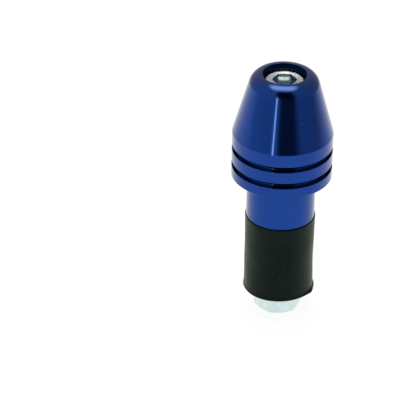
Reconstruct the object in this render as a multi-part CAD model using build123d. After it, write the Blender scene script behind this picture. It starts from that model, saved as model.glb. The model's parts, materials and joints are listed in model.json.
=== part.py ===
from build123d import *
import os
from math import cos, radians, tan

# Bar end weight: a turned nose with a plug that enters a handlebar, and a rubber sleeve
# that a screw and a nut squeeze until it grips the inside of the bar.
#
# The origin is on the axis, in the plane of the collar's underside, which meets the bar's end.
# +Z points outboard, out through the nose. Sizes are in millimetres and degrees.

# Turned weight
collar_d = 24.1  # largest diameter, a little wider than the bar
collar_h = 11.6  # straight collar below the cone
bottom_band = 2.55  # plain band between the shoulder and the lower groove
middle_band = 2.95  # plain band between the two grooves
groove_w = 1.45
groove_depth = 1.5
cone_h = 15.45  # from the collar's upper edge to the nose plane
cone_angle = 15.45  # half angle of the cone
nose_round = 3.2  # round between the cone and the nose plane
neck_d = 16.45  # plug that enters the bar
neck_len = 11.1
edge_break = 0.2  # chamfer on the turned edges

# Rubber sleeve
sleeve_d = 16.9
sleeve_len = 20.25
sleeve_edge = 0.3  # chamfer at each end

# Socket head screw
screw_d = 6.0
head_d = 10.0
head_h = 6.0
head_edge = 0.55  # chamfer round the top of the head
head_recess = 1.45  # depth of the head's top below the nose plane
socket_af = 5.0  # hexagon socket across its flats
socket_depth = 3.3
point_d = 3.6  # blunt point in the socket's bottom
point_floor_d = 2.2  # flat end of that point
point_slope = 31.0
socket_lead = 0.15  # chamfer in the middle of each flat, at the socket's mouth
thread_len = 24.0
thread_pitch = 1.0
tip_chamfer = 0.5
tip_inset = 1.35  # the screw's end stops this far inside the nut's lower face

# Hexagon nut
nut_af = 10.0
nut_h = 5.4
nut_face_inset = 0.25  # the circle left flat on each face is this far inside the flats
nut_chamfer_angle = 30.0
nut_lead = 0.55  # countersink at each end of the nut's hole
nut_turn = 10.0  # how far the nut has been left turned

# Clearances, all on the radius
head_clearance = 0.25  # screw head in its counterbore
shank_clearance = 0.3  # screw in the weight
sleeve_clearance = 0.2  # screw in the rubber
thread_clearance = 0.05  # screw in the nut

# Heights along the axis
nose_z = collar_h + cone_h
head_top_z = nose_z - head_recess
seat_z = head_top_z - head_h
sleeve_top_z = -neck_len
nut_top_z = sleeve_top_z - sleeve_len
nut_bottom_z = nut_top_z - nut_h
tip_z = nut_bottom_z + tip_inset
thread_top_z = tip_z + thread_len

# The thread is a plain cylinder, midway between its crest and its root
MEAN_DROP = 0.65  # how many pitches the mean diameter lies under the outside
thread_mean_d = screw_d - MEAN_DROP * thread_pitch

HEX_SIDES = 6
HALF_SIDE_ANGLE = radians(180 / HEX_SIDES)


def cylinder_between(diameter, low_z, high_z):
    """A plain cylinder on the axis between two heights."""
    return Pos(0, 0, low_z) * Cylinder(
        diameter / 2, high_z - low_z, align=(Align.CENTER, Align.CENTER, Align.MIN)
    )


def hexagon_between(across_flats, low_z, high_z, turn):
    """A hexagon prism on the axis between two heights, one corner turned from +X."""
    outline = RegularPolygon(across_flats / 2, HEX_SIDES, major_radius=False, rotation=turn)
    return extrude(Pos(0, 0, low_z) * outline, high_z - low_z)


def circles_at(solid, height):
    """The round edges of a solid that lie at one height."""
    return solid.edges().filter_by(GeomType.CIRCLE).filter_by_position(Axis.Z, height, height)


def turned(*outline):
    """A solid turned on the axis from an outline of (radius, height) points."""
    return revolve(make_face(Plane.XZ * Polyline(*outline, close=True)), Axis.Z)


def make_weight_body():
    """Nose cone, grooved collar and plug, turned from one bar and bored for the screw."""
    collar_r = collar_d / 2
    nose_r = collar_r - cone_h * tan(radians(cone_angle))
    body = turned(
        (0, -neck_len),
        (neck_d / 2, -neck_len),
        (neck_d / 2, 0),
        (collar_r, 0),
        (collar_r, collar_h),
        (nose_r, nose_z),
        (0, nose_z),
    )
    body = fillet(circles_at(body, nose_z), nose_round)
    body = chamfer(circles_at(body, 0).sort_by(SortBy.RADIUS)[-1], edge_break)
    body = chamfer(circles_at(body, -neck_len), edge_break)
    groove_floor_r = collar_r - groove_depth
    outside_r = collar_r + groove_depth
    for groove_z in (bottom_band, bottom_band + groove_w + middle_band):
        body -= turned(
            (groove_floor_r, groove_z),
            (outside_r, groove_z),
            (outside_r, groove_z + groove_w),
            (groove_floor_r, groove_z + groove_w),
        )
    body -= cylinder_between(head_d + 2 * head_clearance, seat_z, nose_z)
    return body - cylinder_between(screw_d + 2 * shank_clearance, -neck_len, seat_z)


def make_expander_sleeve():
    """Rubber tube between the plug and the nut."""
    tube = cylinder_between(sleeve_d, nut_top_z, sleeve_top_z)
    tube = chamfer(tube.edges().filter_by(GeomType.CIRCLE), sleeve_edge)
    return tube - cylinder_between(screw_d + 2 * sleeve_clearance, nut_top_z, sleeve_top_z)


def make_socket_screw():
    """Cap screw with a hexagon socket; its threaded end is a plain cylinder."""
    head = cylinder_between(head_d, seat_z, head_top_z)
    head = chamfer(circles_at(head, head_top_z), head_edge)
    shank = cylinder_between(screw_d, thread_top_z, seat_z)
    threaded = cylinder_between(thread_mean_d, tip_z, thread_top_z)
    threaded = chamfer(circles_at(threaded, tip_z), tip_chamfer)
    socket_foot_z = head_top_z - socket_depth
    socket = hexagon_between(socket_af, socket_foot_z, head_top_z, turn=0)
    point_depth = (point_d - point_floor_d) / 2 * tan(radians(point_slope))
    point_z = socket_foot_z - point_depth
    point = turned((0, point_z), (point_floor_d / 2, point_z), (point_d / 2, socket_foot_z), (0, socket_foot_z))
    flat_r = socket_af / 2
    mouth_r = flat_r + socket_lead
    lead_foot_z = head_top_z - socket_lead
    lead = turned((0, lead_foot_z), (flat_r, lead_foot_z), (mouth_r, head_top_z), (0, head_top_z))
    return head + shank + threaded - socket - point - lead


def make_hex_nut():
    """Hexagon nut chamfered on both faces, with a plain hole where its thread runs."""
    face_r = nut_af / 2 - nut_face_inset
    corner_r = nut_af / 2 / cos(HALF_SIDE_ANGLE)
    rise = (corner_r - face_r) * tan(radians(nut_chamfer_angle))
    barrel = turned(
        (0, nut_bottom_z),
        (face_r, nut_bottom_z),
        (corner_r, nut_bottom_z + rise),
        (corner_r, nut_top_z - rise),
        (face_r, nut_top_z),
        (0, nut_top_z),
    )
    nut = barrel & hexagon_between(nut_af, nut_bottom_z, nut_top_z, nut_turn)
    nut -= cylinder_between(thread_mean_d + 2 * thread_clearance, nut_bottom_z, nut_top_z)
    for face_z in (nut_bottom_z, nut_top_z):
        nut = chamfer(circles_at(nut, face_z).sort_by(SortBy.RADIUS)[0], nut_lead)
    return nut


pieces = {
    "weight_body": make_weight_body(),
    "expander_sleeve": make_expander_sleeve(),
    "socket_screw": make_socket_screw(),
    "hex_nut": make_hex_nut(),
}
os.makedirs("parts", exist_ok=True)
for name, piece in pieces.items():
    export_step(piece, f"parts/{name}.step")
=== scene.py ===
import json
import math

import bmesh
import bpy
from bpy.props import FloatProperty, FloatVectorProperty, IntProperty, PointerProperty
from mathutils import Matrix, Vector


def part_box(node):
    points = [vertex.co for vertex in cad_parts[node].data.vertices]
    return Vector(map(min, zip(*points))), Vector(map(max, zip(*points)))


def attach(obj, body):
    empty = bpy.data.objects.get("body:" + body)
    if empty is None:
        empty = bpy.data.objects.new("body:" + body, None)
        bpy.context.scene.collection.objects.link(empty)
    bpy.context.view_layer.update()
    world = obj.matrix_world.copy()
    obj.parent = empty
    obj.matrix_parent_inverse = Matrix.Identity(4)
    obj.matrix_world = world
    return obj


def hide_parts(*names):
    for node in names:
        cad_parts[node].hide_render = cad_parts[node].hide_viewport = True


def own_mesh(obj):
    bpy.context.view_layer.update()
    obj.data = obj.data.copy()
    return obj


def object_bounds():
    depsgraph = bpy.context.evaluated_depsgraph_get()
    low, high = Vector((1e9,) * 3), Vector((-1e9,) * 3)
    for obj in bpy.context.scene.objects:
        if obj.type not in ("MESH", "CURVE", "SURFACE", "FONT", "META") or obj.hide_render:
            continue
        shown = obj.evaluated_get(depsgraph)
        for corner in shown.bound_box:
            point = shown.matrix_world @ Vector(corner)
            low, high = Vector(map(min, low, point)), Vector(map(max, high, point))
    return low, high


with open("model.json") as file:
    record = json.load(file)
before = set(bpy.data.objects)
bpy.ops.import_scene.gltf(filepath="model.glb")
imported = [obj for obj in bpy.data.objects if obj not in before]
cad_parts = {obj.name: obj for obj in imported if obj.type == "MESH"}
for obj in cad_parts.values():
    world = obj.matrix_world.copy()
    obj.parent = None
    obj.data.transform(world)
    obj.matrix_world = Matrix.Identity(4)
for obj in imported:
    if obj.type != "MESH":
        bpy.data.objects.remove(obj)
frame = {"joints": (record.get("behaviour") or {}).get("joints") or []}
cad_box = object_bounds()

bl_info = {
    "name": "Bar end weight",
    "version": (1, 0, 0),
    "blender": (4, 5, 0),
    "location": "3D View > Sidebar > Bar end",
    "description": "Dresses a bar end weight: anodised weight, rubber sleeve, socket screw and nut",
    "category": "Object",
}

MM = 0.001

# Fineness of the meshes
ROUND_SEGMENTS = 192
SLEEVE_SEGMENTS = 256
NUT_SEGMENTS = 96
FLOOR_SEGMENTS = 128
ARC_STEPS = 6
BEVEL_STEPS = 2
RINGS_PER_PITCH = 8  # rings of a threaded wall in one turn of its thread
WALL_SPACING = 0.4 * MM  # between the rings of the sleeve's wall
GUARD = 0.06 * MM  # how far from an arc its guard point lies
SAME_PLACE = 0.0005 * MM  # points nearer than this are one point
SHARP_ANGLE = math.radians(25)

# Smaller features of the shapes
HEX_SIDE_ANGLE = math.tau / 6
HEAD_FOOT_ROUND = 0.1 * MM  # broken edges at the foot of the screw's head
RUNOUT = 1.5  # pitches over which the thread fades out towards the shank
FLANK = (0.06, 0.94)  # share of a groove's rise where its flank starts and ends
NEAR_AXIS = 0.01 * MM  # the least radius that the grooves are worked out with
LIP_FULL = 0.3  # share of the lip's height over which it stands out fully
SLEEVE_WAVES = ((1.0, 3, 9, 0), (0.6, 5, -14, 1))  # size, waves in a round, turn along the wall, start

# Patterns in the finishes: scale, detail and roughness of each noise
FINE_RINGS = (7000.0, 3.0, 0.6)
BROAD_RINGS = (900.0, 2.0, 0.5)
DYE_CLOUDS = (160.0, 3.0, 0.55)
DYE_MOTTLE = (1500.0, 2.0, 0.6)
RUBBER_GRAIN = (5200.0, 3.0, 0.6)
RUBBER_PATCHES = (230.0, 4.0, 0.6)
RUBBER_MOTTLE = (1400.0, 3.0, 0.65)
DRAG_MARKS = (1.0, 2.0, 0.5)
DRAG_SCALE = (1800.0, 1800.0, 120.0)  # the drag marks are long and thin
ZINC_SPOTS = (900.0, 4.0, 0.6)

# Finishes: what each pattern or place adds to a plain value
DYE_TONE = {"clouds": 0.4, "broad_rings": 0.2, "mottle": 0.4}
BLUE_ROUGHNESS = {"plain": 0.1, "rings": 0.06, "clouds": 0.02, "inside": 0.3, "speck": 0.5}
DUST_TONE = {"patches": 0.45, "mottle": 0.55}
RUBBER_ROUGHNESS = {"plain": 0.36, "patches": 0.14, "grain": 0.06}
RUBBER_RELIEF = {"grain": 0.4, "drag": 0.2, "mottle": 0.4}
SCREW_ROUGHNESS = {"plain": 0.1, "spots": 0.1, "on_face": 0.24, "in_point": 0.25, "on_wall": -0.04}
NUT_ROUGHNESS = {"plain": 0.3, "spots": 0.1}
# Where a tone turns from dark to light, and how dark and how light the colour then is
DYE_TURNS = (0.35, 0.65)
DYE_SHADES = (0.93, 1.07)
DUST_TURNS = (0.36, 0.64)
DUST_SHADES = (0.3, 2.1)
SPOTS_TURN = (0.3, 0.7)
SCREW_SHADES = (0.95, 1.05)
NUT_SHADES = (0.94, 1.06)
INSIDE_PAINTED_SHADE = 0.3  # painted shade: how dark the counterbore's inside is painted, against the outside
INSIDE_COAT_LOSS = 0.85
# Depths of the relief that only the normals show
FINE_RING_DEPTH = 0.0008 * MM
RUBBER_DEPTH = 0.03 * MM
NUT_SPOT_DEPTH = 0.002 * MM
RING_LEAN = 0.93  # share of each turned ring that faces the axis
RING_KEPT = 0.5  # least share of its depth that a turned ring keeps
SEAM = 0.05 * MM  # width over which one finish passes into the next
SPECK_PLACE = (4.28 * MM, -9.14 * MM, 18.7 * MM)  # a speck of dust on the cone
SPECK_RADIUS = 0.35 * MM
SPECK_COLOUR = (0.045, 0.08, 0.33, 1.0)

CAMERA_REACH = 10.0  # far end of what the camera shows, in metres

# Table: its glow as the lens and as the part's mirror sides see it
TABLE_MATT = (0.9, 0.9, 0.9, 1.0)
TABLE_TO_LENS = (1.08, 1.08, 1.08, 1.0)
TABLE_BEFORE = (0.74, 1.0, 1.03, 1.0)  # mirrored, before the part
TABLE_BEHIND = (1.02, 1.02, 0.95, 1.0)
TABLE_TURNS = (-0.7, 0.7)  # where the one passes into the other, along Y
HORIZON_LEFT = (0.6, 0.8, 0.85, 1.0)
HORIZON_RIGHT = (0.28, 0.31, 0.31, 1.0)
HORIZON_STARTS = (0.25, 1.2)  # shares of the floor's radius between which the table passes into it
HORIZON_NEARER = (0.85, 0.45)  # what distances count for on the left, and how much more on the right

# Light tent: degrees round from the lens towards +X, and up from the horizon
OPENING_LEFT = (-15.5, -4.0)  # soft left edge of the dark opening, at the horizon
OPENING_RIGHT = (24.0, 46.0)
OPENING_TOP = (58.0, 70.0)
OPENING_SPREAD = 20.0  # how much further to the left the opening reaches high up
SPREAD_HEIGHTS = (-10.0, 45.0)
OPENING_GLOW = (0.075, 0.03)  # brightness in the opening, at the horizon and high up
GLOW_HEIGHTS = (0.0, 25.0)
SLIT_SIDES = (-23.5, -20.5)
SLIT_HEIGHTS = (-6.0, 16.0)
SLIT_SOFT = (0.5, 8.0)  # softness of its sides and of its ends
WALL_LEAN = 0.2  # how much brighter the left wall is, and darker the right one
BACK_CLOTH = (0.2, 0.7)  # where the side cloth passes into the back cloth, along Y
# Overhead light: its edges as slopes from straight up, along X and along Y
SOFTBOX_SIDES = (-0.42, 0.35)
SOFTBOX_FRONT = (-0.39, 0.14)  # it fades in from here to here
SOFTBOX_BACK = (0.3, 1.0)  # it fades out from here to here
SOFTBOX_TAPER = (0.0, 1.0)  # it narrows from here to here
SOFTBOX_WHITENS = (0.4, 0.7)  # its colour turns white from here to here
SOFTBOX_NARROWS = 0.6
SOFTBOX_SOFT = 0.13  # softness of its sides
SOFTBOX_LOWEST = 0.02  # the least height that the slopes are worked out with
SOFTBOX_HEIGHTS = (0.0, 0.1)  # it fades in above the horizon

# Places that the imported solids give
weight_low, weight_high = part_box("weight_body")
sleeve_low, sleeve_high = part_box("expander_sleeve")
screw_low, screw_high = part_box("socket_screw")
nut_low, nut_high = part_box("hex_nut")


def length(name, description, default):
    """A size in metres that a user can change."""
    return FloatProperty(
        name=name, description=description, default=default, subtype="DISTANCE", unit="LENGTH", precision=5
    )


def angle(name, description, degrees):
    """An angle that a user can change."""
    return FloatProperty(
        name=name, description=description, default=math.radians(degrees), subtype="ANGLE", unit="ROTATION"
    )


def share(name, description, default):
    """A share from nothing to all."""
    return FloatProperty(
        name=name, description=description, default=default, subtype="FACTOR", min=0, max=1
    )


def colour(name, description, default):
    """A linear colour that a user can change."""
    return FloatVectorProperty(
        name=name, description=description, default=default, subtype="COLOR", size=3, min=0, max=1
    )


class WeightSettings(bpy.types.PropertyGroup):
    """The turned blue weight."""

    collar_radius: length("Collar radius", "Half the largest diameter", weight_high.x)
    collar_height: length("Collar height", "Straight collar below the cone", 11.6 * MM)
    bottom_band: length("Bottom band", "Plain band below the lower groove", 2.55 * MM)
    middle_band: length("Middle band", "Plain band between the grooves", 2.95 * MM)
    groove_width: length("Groove width", "Opening of each groove", 1.45 * MM)
    groove_depth: length("Groove depth", "Depth of each groove", 1.5 * MM)
    cone_angle: angle("Cone angle", "Half angle of the cone", 15.45)
    nose_round: length("Nose round", "Round between the cone and the mouth", 3.2 * MM)
    neck_radius: length("Plug radius", "Half the plug's diameter", 8.225 * MM)
    mouth_radius: length("Counterbore radius", "Room for the screw's head", 5.25 * MM)
    bore_radius: length("Bore radius", "Room for the screw's shank", 3.3 * MM)
    edge_round: length("Edge round", "Round on the turned edges", 0.16 * MM)
    blue: colour("Blue", "Colour of the dyed oxide", (0.003, 0.040, 0.262))
    # Painted shade: a teal-black tint painted into the grooves for the colour of their shade.
    groove_painted_shade: colour("Groove blue", "Colour of the thinner dye in the grooves", (0.012, 0.068, 0.215))
    coat: share("Coat", "How much the sealed oxide mirrors white", 0.33)
    nose_coat: share("Nose coat", "The same on the nose's round, polished by handling", 0.46)


class SleeveSettings(bpy.types.PropertyGroup):
    """The rubber sleeve."""

    radius: length("Radius", "Half the sleeve's diameter", sleeve_high.x)
    bore_radius: length("Bore radius", "Room for the screw", 3.2 * MM)
    edge_round: length("Edge round", "Round on the cut ends", 0.26 * MM)
    foot_round: length("Foot round", "The same at the foot, outside, where the rubber is worn", 0.5 * MM)
    waist: length("Waist", "How much the wall draws in below the middle", 0.15 * MM)
    waist_place: share("Waist place", "How far down the waist lies", 0.58)
    flare: length("Flare", "How much the lower end stands out", 0.12 * MM)
    unevenness: length("Unevenness", "Slow waves of the cut wall", 0.03 * MM)
    lip_height: length("Lip height", "How high the torn lip reaches up the wall", 1.0 * MM)
    lip_reach: length("Lip reach", "How far the lip stands out", 0.28 * MM)
    lip_start: angle("Lip start", "Where the lip begins, from +X", -58)
    lip_end: angle("Lip end", "Where the lip has faded out, from +X", 45)
    tear_reach: length("Tear reach", "How far the torn corner stands out from the lip", 0.28 * MM)
    tear_place: angle("Tear place", "Where the torn corner is, from +X", -24)
    tear_width: angle("Tear width", "From the torn corner to each of its ends", 12)
    black: colour("Black", "Colour of the rubber", (0.0024, 0.0052, 0.0050))


class ScrewSettings(bpy.types.PropertyGroup):
    """The socket head screw."""

    head_radius: length("Head radius", "Half the head's diameter", screw_high.x)
    head_height: length("Head height", "Height of the head", 6.0 * MM)
    head_edge: length("Head edge", "Chamfer round the head's top", 0.62 * MM)
    crown_drop: length("Crown drop", "Fall of the face from the socket to the chamfer", 0.25 * MM)
    knurls: IntProperty(name="Knurls", description="Ridges round the head", default=32, min=3)
    knurl_depth: length("Knurl depth", "Depth between the ridges", 0.22 * MM)
    socket_flat: length("Socket", "Half the socket's width across flats", 2.62 * MM)
    socket_depth: length("Socket depth", "Depth of the socket's walls", 3.8 * MM)
    socket_lead: length("Socket lead", "Chamfer in the middle of each flat", 0.15 * MM)
    point_floor: length("Point floor", "Half the width of the point's flat end", 1.8 * MM)
    point_slope: angle("Point slope", "Slope of the blunt point", 27)
    shank_radius: length("Shank radius", "Half the plain shank's diameter", 3.0 * MM)
    thread_radius: length("Thread radius", "Midway between crest and root", 2.675 * MM)
    thread_depth: length("Thread depth", "From crest to root", 0.6 * MM)
    thread_length: length("Thread length", "Threaded end", 24.0 * MM)
    pitch: length("Pitch", "Rise of the thread in one turn", 1.0 * MM)
    tip_chamfer: length("Tip chamfer", "Chamfer at the screw's end", 0.5 * MM)
    ring_pitch: length("Ring pitch", "Feed of the tool that turned the face", 0.11 * MM)
    ring_depth: length("Ring depth", "Depth of the turned rings", 0.04 * MM)
    grey: colour("Zinc", "Colour of the plated screw", (0.78, 0.76, 0.74))
    # Painted highlight tint: the turned face's zinc is made blue against the warm lamp, so that its
    # highlight reads white.
    face_painted_tint: colour("Face", "Colour of the head's bright turned face", (0.76, 0.8, 1.0))
    # Painted shade: the socket's walls are painted darker and more teal than the zinc.
    socket_painted_shade: colour("Socket", "Colour of the socket's thinly plated walls", (0.36, 0.46, 0.54))
    # Painted reflection tint: the point's zinc is made blue against the warm lamp, for the bright patch it
    # shows in the socket.
    point_painted_tint: colour("Point", "Colour of the socket's bare end", (0.71, 0.75, 1.0))


class NutSettings(bpy.types.PropertyGroup):
    """The hexagon nut."""

    flat: length("Flat", "Half the width across flats", 5.0 * MM)
    face_inset: length("Face inset", "Face circle inside the flats", 0.25 * MM)
    chamfer_angle: angle("Chamfer angle", "Slope of the corner chamfer", 30)
    lead: length("Lead", "Countersink at each end of the hole", 0.55 * MM)
    thread_clearance: length("Thread clearance", "Gap between nut and screw", 0.05 * MM)
    turn: angle("Turn", "How far a corner is turned from +X", 10)
    edge_width: length("Edge width", "Bevel on the edges", 0.07 * MM)
    pale: colour("Zinc", "Colour of the plated nut", (0.88, 0.80, 0.77))


class StageSettings(bpy.types.PropertyGroup):
    """Camera, floor and light."""

    distance: length("Distance", "From the camera to the origin's plane", 0.885)
    elevation: angle("Elevation", "Height of the camera above the horizon", 31.0)
    roll: angle("Roll", "Tilt of the picture", 1.2)
    side: length("Side", "Camera's place to the right of the axis", -0.01932)
    rise: length("Rise", "Camera's place above the origin", -0.00691)
    lens: FloatProperty(name="Lens", description="Focal length in mm", default=333.4, unit="CAMERA")
    floor_radius: length("Floor radius", "Radius of the floor", 0.5)
    floor_glow: share("Floor glow", "Share of the floor that shows white whatever the light", 0.86)
    softbox: FloatProperty(name="Softbox", description="Brightness of the overhead light", default=4.65)
    slit: FloatProperty(name="Slit", description="Brightness of the gap in the tent", default=10.8)
    wall: FloatProperty(name="Wall", description="Brightness of the tent's walls", default=0.555)
    warm: colour("Lamp", "Colour of the overhead light", (1.0, 0.81, 0.36))
    white: colour("Lamp at the back", "Colour of the overhead light's far end", (0.9, 0.93, 1.0))
    gap: colour("Gap", "Colour of the light through the slit", (1.0, 0.67, 0.35))
    cool: colour("Cloth", "Colour of the tent's walls beside the lens", (0.56, 0.95, 1.0))
    plain: colour("Back cloth", "Colour of the tent's back wall", (0.85, 0.79, 0.69))


class Value:
    """A node's output that takes part in sums: each operator adds one Math node."""

    def __init__(self, tree, node, output):
        self.tree = tree
        self.node = node
        self.socket = node.outputs[output]

    def out(self, output):
        """Another output of the same node."""
        return Value(self.tree, self.node, output)

    def math(self, operation, *others):
        """One Math node on this value and others."""
        inputs = dict(enumerate((self, *others)))
        return self.tree.node("ShaderNodeMath", {"operation": operation}, inputs)

    def __add__(self, other):
        return self.math("ADD", other)

    __radd__ = __add__

    def __mul__(self, other):
        return self.math("MULTIPLY", other)

    __rmul__ = __mul__

    def __sub__(self, other):
        return self.math("SUBTRACT", other)

    def __rsub__(self, other):
        return (self * -1.0) + other

    def __truediv__(self, other):
        return self.math("DIVIDE", other)

    def __pow__(self, other):
        return self.math("POWER", other)


class Tree:
    """A node tree that is filled from Python."""

    def __init__(self, tree):
        tree.nodes.clear()
        self.tree = tree

    def node(self, kind, settings=None, inputs=None, output=0):
        """Add a node: its settings first, then the values or links of its sockets."""
        node = self.tree.nodes.new(kind)
        for name, value in (settings or {}).items():
            setattr(node, name, value)
        for name, value in (inputs or {}).items():
            if isinstance(value, Value):
                self.tree.links.new(value.socket, node.inputs[name])
            else:
                node.inputs[name].default_value = value
        return Value(self, node, output) if node.outputs else None

    def split(self, vector):
        """The three parts of a vector."""
        parts = self.node("ShaderNodeSeparateXYZ", None, {"Vector": vector})
        return parts.out("X"), parts.out("Y"), parts.out("Z")

    def rise(self, value, low, high):
        """A smooth step from 0 at low to 1 at high."""
        return self.node(
            "ShaderNodeMapRange",
            {"interpolation_type": "SMOOTHSTEP"},
            {"Value": value, "From Min": low, "From Max": high},
        )

    def band(self, value, low, high, soft):
        """1 between low and high, with soft edges."""
        return self.rise(value, low - soft, low + soft) * (1 - self.rise(value, high - soft, high + soft))

    def blend(self, factor, first, second):
        """A colour between two colours."""
        return self.node(
            "ShaderNodeMix", {"data_type": "RGBA"}, {0: factor, 6: first, 7: second}, output=2
        )

    def noise(self, scale, detail, roughness, **where):
        """Noise over a vector, or over one value W."""
        settings = {"noise_dimensions": "1D" if "W" in where else "3D"}
        inputs = {"Scale": scale, "Detail": detail, "Roughness": roughness, **where}
        return self.node("ShaderNodeTexNoise", settings, inputs)

    def bump(self, height, distance):
        """A bumped normal."""
        return self.node("ShaderNodeBump", None, {"Height": height, "Distance": distance, "Strength": 1.0})


def opaque(linear):
    """A colour with full alpha."""
    return (*linear, 1.0)


def shaded(linear, factor):
    """A colour made darker or lighter, with full alpha."""
    return opaque([part * factor for part in linear])


def toned(tree, tone, linear, shades):
    """A colour that a tone turns from its dark shade to its light one."""
    dark, light = shades
    return tree.blend(tone, shaded(linear, dark), shaded(linear, light))


def weighted(shares, **values):
    """A plain value, and each named value times its share on top."""
    total = shares.get("plain", 0.0)
    for name, value in values.items():
        total = total + value * shares[name]
    return total


def new_material(name):
    """An empty material and its tree."""
    material = bpy.data.materials.new(name)
    material.use_nodes = True
    return material, Tree(material.node_tree)


def surface(tree, **sockets):
    """One Principled surface as the material's output."""
    inputs = {name.replace("_", " "): value for name, value in sockets.items()}
    shader = tree.node("ShaderNodeBsdfPrincipled", None, inputs)
    tree.node("ShaderNodeOutputMaterial", None, {"Surface": shader})


def lathe_feed(tree):
    """The place on the object, and a distance that runs across every turned ring."""
    place = tree.node("ShaderNodeTexCoord", output="Object")
    x, y, z = tree.split(place)
    radius = (x * x + y * y) ** 0.5
    return place, radius, z, radius + z


def anodised_blue(sizes):
    """Dyed oxide on fine turned aluminium: a cloudy dye, a painted shade tint in the grooves, painted
    shade in the counterbore, and a speck of dust.
    """
    material, tree = new_material("blue_anodised")
    place, radius, z, across = lathe_feed(tree)
    rings = tree.noise(*FINE_RINGS, W=across)
    broad_rings = tree.noise(*BROAD_RINGS, W=across)
    clouds = tree.noise(*DYE_CLOUDS, Vector=place)
    mottle = tree.noise(*DYE_MOTTLE, Vector=place)
    tone = tree.rise(weighted(DYE_TONE, clouds=clouds, broad_rings=broad_rings, mottle=mottle), *DYE_TURNS)
    dyed = toned(tree, tone, sizes.blue, DYE_SHADES)
    mouth = sizes.mouth_radius
    collar = sizes.collar_radius
    nose_z = weight_high.z
    inside = (1 - tree.rise(radius, mouth, mouth + SEAM)) * (1 - tree.rise(z, nose_z - 2 * SEAM, nose_z))
    grooves_end = sizes.bottom_band + 2 * sizes.groove_width + sizes.middle_band
    at_grooves = tree.band(z, sizes.bottom_band - 2 * SEAM, grooves_end + 2 * SEAM, SEAM)
    in_grooves = at_grooves * (1 - tree.rise(radius, collar - 3 * SEAM, collar - SEAM))
    # Painted shade: the grooves get a teal-black tint for the colour of their shade.
    outside = tree.blend(in_grooves, dyed, opaque(sizes.groove_painted_shade))
    # Painted shade: the counterbore's inside is painted darker than the outside.
    clean = tree.blend(inside, outside, shaded(sizes.blue, INSIDE_PAINTED_SHADE))
    from_speck = tree.node(
        "ShaderNodeVectorMath", {"operation": "DISTANCE"}, {0: place, 1: SPECK_PLACE}, output="Value"
    )
    speck = 1 - tree.rise(from_speck, SPECK_RADIUS / 2, SPECK_RADIUS)
    handled = tree.rise(z, nose_z - sizes.nose_round, nose_z - sizes.nose_round / 2)
    coat = sizes.coat + handled * (sizes.nose_coat - sizes.coat)
    surface(
        tree,
        Base_Color=tree.blend(speck, clean, SPECK_COLOUR),
        Metallic=1.0,
        Roughness=weighted(BLUE_ROUGHNESS, rings=rings, clouds=clouds, inside=inside, speck=speck),
        Coat_Weight=coat * (1 - inside * INSIDE_COAT_LOSS),
        Coat_Roughness=0.05,
        Coat_IOR=1.6,
        Normal=tree.bump(rings, FINE_RING_DEPTH),
    )
    return material


def black_rubber(black):
    """Matt rubber: fine grain, faint lengthwise drag marks, dusty patches."""
    material, tree = new_material("black_rubber")
    place = tree.node("ShaderNodeTexCoord", output="Object")
    grain = tree.noise(*RUBBER_GRAIN, Vector=place)
    patches = tree.noise(*RUBBER_PATCHES, Vector=place)
    stretched = tree.node("ShaderNodeMapping", None, {"Vector": place, "Scale": DRAG_SCALE})
    drag = tree.noise(*DRAG_MARKS, Vector=stretched)
    mottle = tree.noise(*RUBBER_MOTTLE, Vector=place)
    dust = tree.rise(weighted(DUST_TONE, patches=patches, mottle=mottle), *DUST_TURNS)
    surface(
        tree,
        Base_Color=toned(tree, dust, black, DUST_SHADES),
        Roughness=weighted(RUBBER_ROUGHNESS, patches=patches, grain=grain),
        IOR=1.2,
        Sheen_Weight=0.34,
        Sheen_Roughness=0.4,
        Sheen_Tint=(0.95, 1.0, 0.87, 1.0),
        Normal=tree.bump(weighted(RUBBER_RELIEF, grain=grain, drag=drag, mottle=mottle), RUBBER_DEPTH),
    )
    return material


def head_seat(screw):
    """Height of the screw's seat, under its head."""
    return screw_high.z - screw.head_height


def thread_start(screw):
    """Height where the thread meets the plain shank."""
    return screw_low.z + screw.thread_length


def socket_corner(screw):
    """How far the socket's corners are from the axis."""
    return screw.socket_flat / math.cos(HEX_SIDE_ANGLE / 2)


def socket_depths(screw):
    """Heights of the socket's lower end and of its blunt point's end."""
    bottom = screw_high.z - screw.socket_depth
    return bottom, bottom - (screw.socket_flat - screw.point_floor) * math.tan(screw.point_slope)


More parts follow.
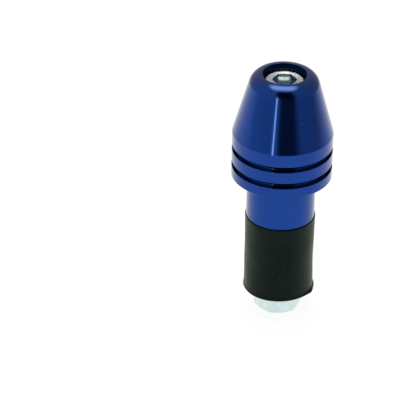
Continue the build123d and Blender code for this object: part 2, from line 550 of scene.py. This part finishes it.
def zinc_screw(sizes):
    """Bright zinc over a turned head: strong rings on the face, painted shade on the socket walls, and a
    blue painted tint on the face and the point against the warm lamp.
    """
    material, tree = new_material("zinc_screw")
    place, radius, z, across = lathe_feed(tree)
    top = screw_high.z
    rim_z = top - sizes.crown_drop
    on_face = tree.rise(z, rim_z - 2 * SEAM, rim_z - SEAM)
    corner = socket_corner(sizes)
    below = 1 - tree.rise(z, top - 2 * SEAM, top - SEAM)
    in_socket = (1 - tree.rise(radius, corner, corner + SEAM)) * below
    bottom, foot = socket_depths(sizes)
    on_wall = in_socket * tree.rise(z, bottom + SEAM, bottom + 2 * SEAM)
    in_point = in_socket * tree.band(z, foot - 2 * SEAM, bottom - SEAM / 2, SEAM / 2)
    feed = (radius / sizes.ring_pitch).math("FRACT")
    rings = (feed / RING_LEAN).math("MINIMUM", (1 - feed) / (1 - RING_LEAN))
    spots = tree.noise(*ZINC_SPOTS, Vector=place)
    zinc = toned(tree, tree.rise(spots, *SPOTS_TURN), sizes.grey, SCREW_SHADES)
    # Painted highlight tint on the turned face.
    turned = tree.blend(on_face, zinc, opaque(sizes.face_painted_tint))
    # Painted reflection tint on the socket's point.
    outside = tree.blend(in_point, turned, opaque(sizes.point_painted_tint))
    surface(
        tree,
        # Painted shade on the socket walls.
        Base_Color=tree.blend(on_wall, outside, opaque(sizes.socket_painted_shade)),
        Metallic=1.0,
        Roughness=weighted(
            SCREW_ROUGHNESS, spots=spots, on_face=on_face, in_point=in_point, on_wall=on_wall
        ),
        Normal=tree.bump(rings * on_face * (1 - in_socket) * (RING_KEPT + spots), sizes.ring_depth),
    )
    return material


def zinc_nut(pale):
    """Bright zinc over rolled steel, slightly mottled."""
    material, tree = new_material("zinc_nut")
    place = tree.node("ShaderNodeTexCoord", output="Object")
    spots = tree.noise(*ZINC_SPOTS, Vector=place)
    surface(
        tree,
        Base_Color=toned(tree, tree.rise(spots, *SPOTS_TURN), pale, NUT_SHADES),
        Metallic=1.0,
        Roughness=weighted(NUT_ROUGHNESS, spots=spots),
        Normal=tree.bump(spots, NUT_SPOT_DEPTH),
    )
    return material


def corner_arc(before, here, after, radius):
    """Points of the arc that rounds one corner of an outline."""
    inward = (before - here).normalized()
    onward = (after - here).normalized()
    half_angle = inward.angle(onward) / 2
    centre = here + (inward + onward).normalized() * radius / math.sin(half_angle)
    start = here + inward * radius / math.tan(half_angle) - centre
    sweep = math.copysign(math.pi - 2 * half_angle, -inward.cross(onward))
    turns = (Matrix.Rotation(sweep * step / ARC_STEPS, 2) for step in range(ARC_STEPS + 1))
    return [centre + turn @ start for turn in turns]


def straight(start, end, spacing):
    """Points between two arcs: a guard beside each, and even ones between where a spacing is given."""
    run = (end - start).length
    guard = min(GUARD, run / 4)
    marks = [guard, run - guard]
    if spacing and run > 2 * spacing:
        steps = round(run / spacing)
        marks[1:1] = [run * step / steps for step in range(1, steps)]
    return [start.lerp(end, mark / run) for mark in marks]


def rounded(corners, spacing=None):
    """Points of a closed outline of (radius, height, round) corners, each turned into an arc.

    The guard points keep the straight stretches flat under smooth shading.
    """
    places = [Vector(corner[:2]) for corner in corners]
    neighbours = zip(places[-1:] + places[:-1], places, places[1:] + places[:1], corners)
    arcs = [corner_arc(before, here, after, corner[2]) for before, here, after, corner in neighbours]
    points = []
    for arc, following in zip(arcs, arcs[1:] + arcs[:1]):
        points += arc
        points += straight(arc[-1], following[0], spacing)
    return points


def hexagon(flat, turn=0.0):
    """How far a hexagon's side is from the axis at an angle; a corner lies at the turn."""

    def reach(where):
        return flat / math.cos((where - turn) % HEX_SIDE_ANGLE - HEX_SIDE_ANGLE / 2)

    return reach


def at_angle(part, where):
    """A ring's radius or height at an angle, whether a number or a rule."""
    return part(where) if callable(part) else part


def skin(name, rings, segments, turn=0.0):
    """A closed mesh through rings of (radius, height), the last joined to the first.

    A ring of no radius is one point on the axis.
    """
    mesh = bmesh.new()
    loops = []
    for radius, height in rings:
        if radius == 0.0:
            loops.append([mesh.verts.new((0.0, 0.0, height))])
            continue
        loop = []
        for step in range(segments):
            where = turn + math.tau * step / segments
            reach = at_angle(radius, where)
            point = (reach * math.cos(where), reach * math.sin(where), at_angle(height, where))
            loop.append(mesh.verts.new(point))
        loops.append(loop)
    for upper, lower in zip(loops, loops[1:] + loops[:1]):
        if len(upper) == len(lower) == 1:
            continue
        for step in range(segments):
            following = (step + 1) % segments
            corners = [upper[step % len(upper)], upper[following % len(upper)]]
            corners += [lower[following % len(lower)], lower[step % len(lower)]]
            mesh.faces.new(dict.fromkeys(corners))
    bmesh.ops.remove_doubles(mesh, verts=mesh.verts, dist=SAME_PLACE)
    bmesh.ops.recalc_face_normals(mesh, faces=mesh.faces)
    data = bpy.data.meshes.new(name)
    mesh.to_mesh(data)
    mesh.free()
    piece = bpy.data.objects.new(name, data)
    bpy.context.scene.collection.objects.link(piece)
    return piece


def mark_wall(piece, name, share_at):
    """Store on each point the share of a wall's groove depth that it takes."""
    layer = piece.data.attributes.new(name, "FLOAT", "POINT")
    for point, stored in zip(piece.data.vertices, layer.data):
        stored.value = share_at(math.hypot(point.co.x, point.co.y), point.co.z)


def wall_grooves():
    """Geometry nodes that cut grooves into a marked wall, as a thread or a straight knurl has them."""
    group = bpy.data.node_groups.new("wall_grooves", "GeometryNodeTree")
    sockets = {
        "Mesh": "NodeSocketGeometry",
        "Wall": "NodeSocketString",
        "Starts": "NodeSocketFloat",
        "Turns a Metre": "NodeSocketFloat",
        "Depth": "NodeSocketFloat",
        "Crest": "NodeSocketFloat",
        "Material": "NodeSocketMaterial",
    }
    for name, kind in sockets.items():
        group.interface.new_socket(name, in_out="INPUT", socket_type=kind)
    group.interface.new_socket("Mesh", in_out="OUTPUT", socket_type="NodeSocketGeometry")
    tree = Tree(group)
    given = tree.node("NodeGroupInput")
    x, y, z = tree.split(tree.node("GeometryNodeInputPosition"))
    reach = (x * x + y * y) ** 0.5
    turns = y.math("ARCTAN2", x) / math.tau
    phase = turns * given.out("Starts") - z * given.out("Turns a Metre")
    wave = tree.rise(phase.math("PINGPONG", 0.5) * 2, *FLANK)
    wall = tree.node(
        "GeometryNodeInputNamedAttribute", {"data_type": "FLOAT"}, {"Name": given.out("Wall")}
    )
    step = (wave - given.out("Crest")) * given.out("Depth") * wall / reach.math("MAXIMUM", NEAR_AXIS)
    offset = tree.node("ShaderNodeCombineXYZ", None, {"X": x * step, "Y": y * step})
    moved = tree.node(
        "GeometryNodeSetPosition", None, {"Geometry": given.out("Mesh"), "Offset": offset}
    )
    real = tree.node("GeometryNodeRealizeInstances", None, {"Geometry": moved})
    painted = tree.node(
        "GeometryNodeSetMaterial", None, {"Geometry": real, "Material": given.out("Material")}
    )
    tree.node("NodeGroupOutput", None, {"Mesh": painted})
    return group


def groove_wall(piece, **values):
    """Add the grooves to a piece; the values are the tree's inputs by name, with _ for a space."""
    group = bpy.data.node_groups.get("wall_grooves") or wall_grooves()
    modifier = piece.modifiers.new(values["Wall"], "NODES")
    modifier.node_group = group
    for socket in group.interface.items_tree:
        value = values.get(socket.name.replace(" ", "_"))
        if socket.in_out == "INPUT" and value is not None:
            modifier[socket.identifier] = value


def threaded_wall(radius, high, low, pitch):
    """Rings of a wall that takes a thread, from its upper end to its lower end."""
    steps = round((high - low) / pitch * RINGS_PER_PITCH)
    return [(radius, high + (low - high) * step / steps) for step in range(steps + 1)]


def cut_thread(piece, screw, material):
    """Cut the screw's thread into the wall that is marked for it."""
    groove_wall(
        piece, Wall="thread", Starts=1.0, Turns_a_Metre=1 / screw.pitch,
        Depth=screw.thread_depth, Crest=0.5, Material=material,
    )


def settle(piece, material):
    """Make the modifiers' result the piece's own plain mesh, and shade it."""
    graph = bpy.context.evaluated_depsgraph_get()
    mesh = bpy.data.meshes.new_from_object(piece.evaluated_get(graph))
    piece.modifiers.clear()
    piece.data = mesh
    mesh.materials.clear()
    mesh.materials.append(material)
    mesh.shade_smooth()
    mesh.set_sharp_from_angle(angle=SHARP_ANGLE)


def fit(piece, node, body):
    """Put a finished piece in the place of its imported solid."""
    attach(piece, body)
    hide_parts(node)


def weight_outline(sizes):
    """Outline of the turned weight, from the bore's lower end round to the bore's upper end."""
    edge = sizes.edge_round
    collar = sizes.collar_radius
    floor = collar - sizes.groove_depth
    nose_z = weight_high.z
    slope = math.tan(sizes.cone_angle)
    nose_radius = collar - (nose_z - sizes.collar_height) * slope
    seat_z = head_seat(bpy.context.scene.bar_end_screw)
    corners = [
        (sizes.bore_radius, weight_low.z, edge),
        (sizes.neck_radius, weight_low.z, edge),
        (sizes.neck_radius, 0.0, edge),
        (collar, 0.0, edge),
    ]
    for start in (sizes.bottom_band, sizes.bottom_band + sizes.groove_width + sizes.middle_band):
        end = start + sizes.groove_width
        corners += [
            (collar, start, edge / 2),
            (floor, start, edge),
            (floor, end, edge),
            (collar, end, edge / 2),
        ]
    corners += [
        (collar, sizes.collar_height, edge * 2),
        (nose_radius, nose_z, sizes.nose_round),
        (sizes.mouth_radius, nose_z, edge / 2),
        (sizes.mouth_radius, seat_z, edge),
        (sizes.bore_radius, seat_z, edge),
    ]
    return rounded(corners)


class BAREND_OT_weight_body(bpy.types.Operator):
    """Turn the blue weight: nose, cone, grooved collar and plug, with its counterbore and bore"""

    bl_idname = "bar_end.weight_body"
    bl_label = "Weight body"

    def execute(self, context):
        sizes = context.scene.bar_end_weight
        piece = skin("turned_weight", weight_outline(sizes), ROUND_SEGMENTS)
        settle(piece, anodised_blue(sizes))
        fit(piece, "weight_body", "weight")
        return {"FINISHED"}


def step_between(value, low, high):
    """A smooth step from 0 at low to 1 at high."""
    part = min(max((value - low) / (high - low), 0.0), 1.0)
    return part * part * (3 - 2 * part)


def sleeve_reach(sizes, radius, height):
    """The rule for one ring of the sleeve's outer wall: waist, flare, slow waves and the torn lip."""
    down = (sleeve_high.z - height) / (sleeve_high.z - sleeve_low.z)
    from_waist = (down - sizes.waist_place) / sizes.waist_place
    at_end = 1 - step_between(height - sleeve_low.z, sizes.lip_height * LIP_FULL, sizes.lip_height)
    plain = radius - sizes.waist * (1 - from_waist * from_waist) + sizes.flare * at_end

    def reach(where):
        turned = (where + math.pi) % math.tau - math.pi
        waves = 0.0
        for size, count, along, start in SLEEVE_WAVES:
            waves += size * math.sin(count * where + along * down + start)
        lip = sizes.lip_reach * step_between(turned, sizes.lip_start, sizes.tear_place)
        lip *= 1 - step_between(turned, 0.0, sizes.lip_end)
        lip += sizes.tear_reach * max(1 - abs(turned - sizes.tear_place) / sizes.tear_width, 0.0)
        return plain + sizes.unevenness * waves + lip * at_end

    return reach


class BAREND_OT_expander_sleeve(bpy.types.Operator):
    """Make the rubber sleeve, slightly waisted, with a torn lip at its lower end"""

    bl_idname = "bar_end.expander_sleeve"
    bl_label = "Expander sleeve"

    def execute(self, context):
        sizes = context.scene.bar_end_sleeve
        edge = sizes.edge_round
        outline = rounded(
            [
                (sizes.bore_radius, sleeve_low.z, edge),
                (sizes.radius, sleeve_low.z, sizes.foot_round),
                (sizes.radius, sleeve_high.z, edge),
                (sizes.bore_radius, sleeve_high.z, edge),
            ],
            spacing=WALL_SPACING,
        )
        wall = sizes.radius - 2 * sizes.foot_round
        rings = []
        for radius, height in outline:
            rings.append((sleeve_reach(sizes, radius, height) if radius > wall else radius, height))
        piece = skin("rubber_sleeve", rings, SLEEVE_SEGMENTS)
        settle(piece, black_rubber(sizes.black))
        fit(piece, "expander_sleeve", "weight")
        drawn = next(joint for joint in frame["joints"] if joint["name"] == "nut_draw")
        sleeve_length = sleeve_high.z - sleeve_low.z
        kept = 1 - drawn["range_m"][1] / sleeve_length
        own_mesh(piece)
        return {"FINISHED"}


def screw_rings(sizes):
    """Rings of the screw from the socket's bottom over the head and down to the tip."""
    top = screw_high.z
    tip = screw_low.z
    seat = head_seat(sizes)
    edge = HEAD_FOOT_ROUND
    socket = hexagon(sizes.socket_flat)
    mouth = sizes.socket_flat + sizes.socket_lead
    bottom, foot = socket_depths(sizes)
    thread_top = thread_start(sizes)
    rings = [
        (0.0, foot),
        (hexagon(sizes.point_floor), foot),
        (socket, bottom),
        (socket, lambda where: top - max(mouth - socket(where), 0.0)),
        (lambda where: max(mouth, socket(where)), top),
        (socket_corner(sizes) + GUARD, top),
        (sizes.head_radius - sizes.head_edge, top - sizes.crown_drop),
        (sizes.head_radius, top - sizes.head_edge),
        (sizes.head_radius, top - sizes.head_edge - GUARD),
        (sizes.head_radius, seat + edge + GUARD),
        (sizes.head_radius, seat + edge),
        (sizes.head_radius - edge, seat),
        (sizes.shank_radius + edge, seat),
        (sizes.shank_radius, seat - edge),
        (sizes.shank_radius, thread_top + sizes.pitch),
    ]
    rings += threaded_wall(sizes.thread_radius, thread_top, tip + sizes.tip_chamfer, sizes.pitch)
    return rings + [(sizes.thread_radius - sizes.tip_chamfer, tip), (0.0, tip)]


class BAREND_OT_socket_screw(bpy.types.Operator):
    """Make the cap screw: knurled head with a hexagon socket, plain shank and threaded end"""

    bl_idname = "bar_end.socket_screw"
    bl_label = "Socket screw"

    def execute(self, context):
        sizes = context.scene.bar_end_screw
        piece = skin("cap_screw", screw_rings(sizes), ROUND_SEGMENTS)
        seat = head_seat(sizes)
        thread_top = thread_start(sizes)
        runout = RUNOUT * sizes.pitch

        def on_head_side(reach, height):
            return float(reach > sizes.head_radius - GUARD and height > seat)

        def on_thread(reach, height):
            on_wall = abs(reach - sizes.thread_radius) < GUARD and height < thread_top + GUARD
            return step_between(thread_top - height, 0.0, runout) if on_wall else 0.0

        mark_wall(piece, "knurl", on_head_side)
        mark_wall(piece, "thread", on_thread)
        zinc = zinc_screw(sizes)
        groove_wall(
            piece, Wall="knurl", Starts=float(sizes.knurls), Turns_a_Metre=0.0,
            Depth=sizes.knurl_depth, Crest=1.0, Material=zinc,
        )
        cut_thread(piece, sizes, zinc)
        settle(piece, zinc)
        fit(piece, "socket_screw", "screw")
        return {"FINISHED"}


def nut_rings(sizes, screw):
    """Rings of the nut, from the hole's lower end over the outside and back through the hole."""
    low = nut_low.z
    high = nut_high.z
    side = hexagon(sizes.flat, sizes.turn)
    face = sizes.flat - sizes.face_inset
    slope = math.tan(sizes.chamfer_angle)
    hole = screw.thread_radius + sizes.thread_clearance
    rings = [
        (hole + sizes.lead, low),
        (face, low),
        (side, lambda where: low + (side(where) - face) * slope),
        (side, lambda where: high - (side(where) - face) * slope),
        (face, high),
        (hole + sizes.lead, high),
    ]
    return rings + threaded_wall(hole, high - sizes.lead, low + sizes.lead, screw.pitch)


class BAREND_OT_hex_nut(bpy.types.Operator):
    """Make the hexagon nut, chamfered on both faces and threaded"""

    bl_idname = "bar_end.hex_nut"
    bl_label = "Hexagon nut"

    def execute(self, context):
        sizes = context.scene.bar_end_nut
        screw = context.scene.bar_end_screw
        piece = skin("threaded_nut", nut_rings(sizes, screw), NUT_SEGMENTS, sizes.turn)
        hole = screw.thread_radius + sizes.thread_clearance

        def on_thread(reach, height):
            return float(abs(reach - hole) < GUARD)

        mark_wall(piece, "thread", on_thread)
        zinc = zinc_nut(sizes.pale)
        bevel = piece.modifiers.new("edges", "BEVEL")
        bevel.width = sizes.edge_width
        bevel.segments = BEVEL_STEPS
        bevel.limit_method = "ANGLE"
        bevel.angle_limit = SHARP_ANGLE / 2
        cut_thread(piece, screw, zinc)
        settle(piece, zinc)
        fit(piece, "hex_nut", "nut")
        return {"FINISHED"}


def add_camera(stage):
    """The camera, at the photograph's angle."""
    lift = stage.elevation
    right = Vector((1, 0, 0))
    up = Vector((0, math.sin(lift), math.cos(lift)))
    back = Vector((0, -math.cos(lift), math.sin(lift)))
    place = right * stage.side + up * stage.rise + back * stage.distance
    lens = bpy.data.cameras.new("camera")
    lens.lens = stage.lens
    lens.clip_end = CAMERA_REACH
    camera = bpy.data.objects.new("camera", lens)
    turned = Matrix.Rotation(stage.roll, 3, back) @ Matrix((right, up, back)).transposed()
    camera.matrix_world = Matrix.Translation(place) @ turned.to_4x4()
    bpy.context.scene.collection.objects.link(camera)
    bpy.context.scene.camera = camera


def floor_material(stage):
    """A white table: it glows a little to lens and mirrors, and keeps the object's shadow."""
    material, tree = new_material("floor")
    x, y, z = tree.split(tree.node("ShaderNodeTexCoord", output="Object"))
    distance = (x * x + y * y) ** 0.5
    ray = tree.node("ShaderNodeLightPath", output="Is Camera Ray")
    mirrored = ray.out("Is Glossy Ray").math("MAXIMUM", ray.out("Is Transmission Ray"))
    spoke = distance.math("MAXIMUM", MM)
    table = tree.blend(tree.rise(y / spoke, *TABLE_TURNS), TABLE_BEFORE, TABLE_BEHIND)
    near = tree.blend(mirrored, TABLE_TO_LENS, table)
    rightward = (1 + x / spoke) / 2
    on_left, more_on_right = HORIZON_NEARER
    reach = distance * (on_left + rightward * more_on_right)
    far = tree.rise(reach, *(stage.floor_radius * part for part in HORIZON_STARTS))
    horizon = tree.blend(rightward, HORIZON_LEFT, HORIZON_RIGHT)
    faded = tree.blend(mirrored * far, near, horizon)
    glow = tree.node("ShaderNodeEmission", None, {"Color": faded})
    matt = tree.node("ShaderNodeBsdfDiffuse", None, {"Color": TABLE_MATT})
    seen = ray.out("Is Camera Ray") * stage.floor_glow + mirrored
    mixed = tree.node("ShaderNodeMixShader", None, {0: seen, 1: matt, 2: glow})
    tree.node("ShaderNodeOutputMaterial", None, {"Surface": mixed})
    return material


def add_floor(stage):
    """A wide pale disc under the nut."""
    mesh = bmesh.new()
    bmesh.ops.create_circle(mesh, cap_ends=True, segments=FLOOR_SEGMENTS, radius=stage.floor_radius)
    bmesh.ops.translate(mesh, verts=mesh.verts, vec=(0, 0, cad_box[0].z))
    data = bpy.data.meshes.new("floor")
    mesh.to_mesh(data)
    mesh.free()
    data.materials.append(floor_material(stage))
    floor = bpy.data.objects.new("floor", data)
    bpy.context.scene.collection.objects.link(floor)


def add_tent(stage):
    """A white tent as the world: softbox overhead, dark opening round the lens, one bright slit."""
    world = bpy.data.worlds.new("light_tent")
    world.use_nodes = True
    bpy.context.scene.world = world
    tree = Tree(world.node_tree)
    x, y, z = tree.split(tree.node("ShaderNodeTexCoord", output="Generated"))
    side = x.math("ARCTAN2", y * -1.0) * math.degrees(1)
    height = z.math("ARCSINE") * math.degrees(1)
    spread = tree.rise(height, *SPREAD_HEIGHTS) * OPENING_SPREAD
    left = tree.rise(side + spread, *OPENING_LEFT)
    right = 1 - tree.rise(side, *OPENING_RIGHT)
    opening = left * right * (1 - tree.rise(height, *OPENING_TOP))
    low_glow, high_glow = OPENING_GLOW
    glow = low_glow + tree.rise(height, *GLOW_HEIGHTS) * (high_glow - low_glow)
    wall = stage.wall * (1.0 - x * WALL_LEAN)
    cloth = wall * (1 - opening) + glow * opening
    up = z.math("MAXIMUM", SOFTBOX_LOWEST)
    narrowed = 1 - tree.rise(y / up, *SOFTBOX_TAPER) * SOFTBOX_NARROWS
    across = tree.band(x / up / narrowed, *SOFTBOX_SIDES, SOFTBOX_SOFT)
    along = tree.rise(y / up, *SOFTBOX_FRONT) * (1 - tree.rise(y / up, *SOFTBOX_BACK))
    overhead = across * along * tree.rise(z, *SOFTBOX_HEIGHTS)
    slit_side, slit_end = SLIT_SOFT
    slit = tree.band(side, *SLIT_SIDES, slit_side) * tree.band(height, *SLIT_HEIGHTS, slit_end)
    at_back = tree.rise(y, *BACK_CLOTH)
    cloth_colour = tree.blend(at_back, opaque(stage.cool), opaque(stage.plain))
    walls = tree.node("ShaderNodeBackground", None, {"Color": cloth_colour, "Strength": cloth})
    lamp_colour = tree.blend(tree.rise(y / up, *SOFTBOX_WHITENS), opaque(stage.warm), opaque(stage.white))
    lamp = tree.node(
        "ShaderNodeBackground", None, {"Color": lamp_colour, "Strength": overhead * stage.softbox}
    )
    streak = tree.node(
        "ShaderNodeBackground", None, {"Color": opaque(stage.gap), "Strength": slit * stage.slit}
    )
    lights = tree.node("ShaderNodeAddShader", None, {0: lamp, 1: streak})
    tent = tree.node("ShaderNodeAddShader", None, {0: walls, 1: lights})
    white = tree.node("ShaderNodeBackground", None, {"Color": (1.0, 1.0, 1.0, 1.0)})
    ray = tree.node("ShaderNodeLightPath", output="Is Camera Ray")
    seen = ray.math("MAXIMUM", ray.out("Is Transmission Ray"))
    mixed = tree.node("ShaderNodeMixShader", None, {0: seen, 1: tent, 2: white})
    tree.node("ShaderNodeOutputWorld", None, {"Surface": mixed})


class BAREND_OT_stage(bpy.types.Operator):
    """Set up the camera, the pale floor and the light tent"""

    bl_idname = "bar_end.stage"
    bl_label = "Stage"

    def execute(self, context):
        stage = context.scene.bar_end_stage
        context.scene.view_settings.view_transform = "Standard"
        add_camera(stage)
        add_floor(stage)
        add_tent(stage)
        return {"FINISHED"}


class BAREND_PT_panel(bpy.types.Panel):
    """The bar end weight's pieces and sizes"""

    bl_idname = "BAREND_PT_panel"
    bl_label = "Bar end weight"
    bl_space_type = "VIEW_3D"
    bl_region_type = "UI"
    bl_category = "Bar end"

    def draw(self, context):
        for operator, holder, _ in PIECES:
            box = self.layout.box()
            box.operator(operator.bl_idname)
            settings = getattr(context.scene, holder)
            for name in settings.__annotations__:
                box.prop(settings, name)


PIECES = (
    (BAREND_OT_stage, "bar_end_stage", StageSettings),
    (BAREND_OT_weight_body, "bar_end_weight", WeightSettings),
    (BAREND_OT_expander_sleeve, "bar_end_sleeve", SleeveSettings),
    (BAREND_OT_socket_screw, "bar_end_screw", ScrewSettings),
    (BAREND_OT_hex_nut, "bar_end_nut", NutSettings),
)


def register():
    for operator, holder, group in PIECES:
        bpy.utils.register_class(group)
        setattr(bpy.types.Scene, holder, PointerProperty(type=group))
        bpy.utils.register_class(operator)
    bpy.utils.register_class(BAREND_PT_panel)


def unregister():
    bpy.utils.unregister_class(BAREND_PT_panel)
    for operator, holder, group in reversed(PIECES):
        bpy.utils.unregister_class(operator)
        delattr(bpy.types.Scene, holder)
        bpy.utils.unregister_class(group)


def main():
    register()
    bpy.ops.bar_end.stage()
    bpy.ops.bar_end.weight_body()
    bpy.ops.bar_end.expander_sleeve()
    bpy.ops.bar_end.socket_screw()
    bpy.ops.bar_end.hex_nut()


if __name__ == "__main__":
    main()
